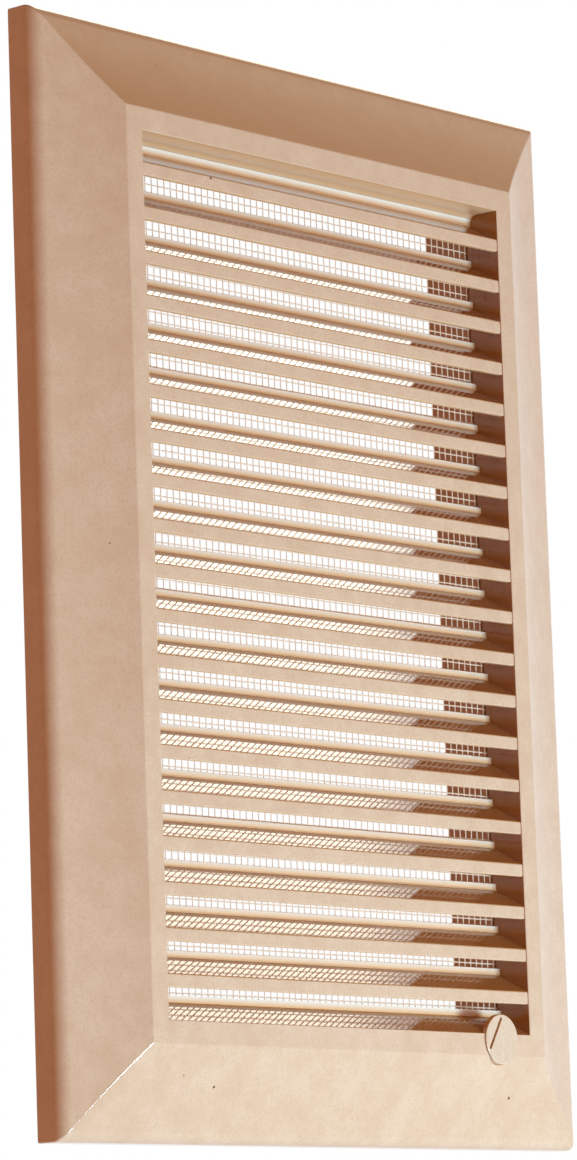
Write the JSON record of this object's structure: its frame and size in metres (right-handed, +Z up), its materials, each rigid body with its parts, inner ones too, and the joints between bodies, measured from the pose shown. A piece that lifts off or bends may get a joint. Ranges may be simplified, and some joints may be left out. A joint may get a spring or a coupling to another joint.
{
  "type": "louvred vent",
  "caption": "Rectangular moulded wall vent: hollow-bevelled frame with fixed louvre slats, insect net, rear collar and a quarter-turn lock button.",
  "frame": {"origin": "centre of the wall plane, on the rear face of the flange", "axes": "+Z up, +Y into the wall, the louvred front faces -Y"},
  "size_m": [0.17, 0.0218, 0.24],
  "materials": {
    "front_moulding": "glossy moulded beige plastic",
    "net": "fine moulded plastic net",
    "rear_moulding": "glossy moulded beige plastic",
    "lock": "glossy moulded beige plastic"
  },
  "bodies": {
    "housing": {"front_grille": "front_moulding", "insect_mesh": "net", "wall_frame": "rear_moulding"},
    "lock": {"lock_button": "lock", "lock_cam": "lock"}
  },
  "joints": [
    {"name": "lock_turn", "type": "hinge", "parent": "housing", "child": "lock", "pos_m": [0.0493, -0.01465, -0.0961], "axis": [0, 1, 0], "range_deg": [0, 90]}
  ]
}
